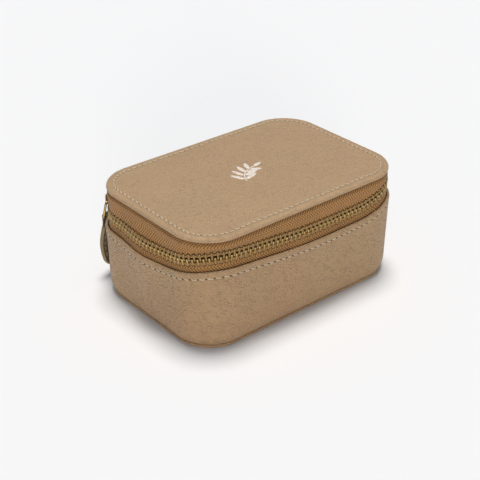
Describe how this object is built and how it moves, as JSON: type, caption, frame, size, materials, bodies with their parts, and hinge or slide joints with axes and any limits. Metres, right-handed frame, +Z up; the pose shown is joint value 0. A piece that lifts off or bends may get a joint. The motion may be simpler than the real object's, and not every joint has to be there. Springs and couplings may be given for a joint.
{
  "type": "leather jewellery case",
  "caption": "Small rounded zip-around travel jewellery case in tan leather with a brass zip, leather pull, hinged lid, ring rolls and divided tray.",
  "frame": {"origin": "middle of the underside of the base's leather bottom panel, on the surface that the case stands on", "axes": "+Z up; +X along the case; -Y is the front, which faces the user when the lid opens; +Y is the hinge side"},
  "size_m": [0.1212, 0.0851, 0.0528],
  "materials": {
    "leather": "fine-grained tan leather, satin",
    "suede_lining": "pale microfibre suede",
    "greyboard": "bare greyboard",
    "foam": "thin soft foam padding",
    "zip_tape": "golden-brown herringbone tape",
    "antique_brass": "antique brass, darkened in the recesses",
    "elastic": "woven elastic"
  },
  "bodies": {
    "base": {"base_bottom_leather": "leather", "base_floor_board": "greyboard", "base_wall_leather": "leather", "base_wall_foam": "foam", "base_wall_board": "greyboard", "base_wall_lining": "suede_lining", "base_floor_lining": "suede_lining", "ring_roll_1": "suede_lining", "ring_roll_2": "suede_lining", "ring_roll_3": "suede_lining", "ring_roll_4": "suede_lining", "ring_roll_5": "suede_lining", "ring_roll_6": "suede_lining", "ring_roll_7": "suede_lining", "ring_bank_divider": "suede_lining", "long_divider": "suede_lining", "short_divider": "suede_lining", "lower_zip_tape": "zip_tape", "lower_zip_teeth": "antique_brass", "zip_top_stop": "antique_brass", "zip_bottom_stop": "antique_brass", "lower_spine": "leather"},
    "lid": {"lid_leather": "leather", "lid_board": "greyboard", "lid_lining": "suede_lining", "lid_pocket": "suede_lining", "pocket_elastic": "elastic", "upper_zip_tape": "zip_tape", "upper_zip_teeth": "antique_brass", "upper_spine": "leather"},
    "slider": {"slider_outer_plate": "antique_brass", "slider_inner_plate": "antique_brass", "slider_post": "antique_brass", "slider_bail": "antique_brass"},
    "pull": {"pull_ring": "antique_brass", "pull_tab": "leather"}
  },
  "joints": [
    {"name": "lid_hinge", "type": "hinge", "parent": "base", "child": "lid", "pos_m": [0, 0.0387, 0.04], "axis": [-1, 0, 0], "range_deg": [0, 100]},
    {"name": "slider_travel", "type": "hinge", "parent": "base", "child": "slider", "pos_m": [-0.0395, 0.021, 0.0386], "axis": [0, 0, 1], "range_deg": [0, 30]},
    {"name": "pull_swing", "type": "hinge", "parent": "slider", "child": "pull", "pos_m": [-0.04748, 0.04075, 0.0376], "axis": [0.9272, 0.3746, 0], "range_deg": [0, 90]}
  ]
}
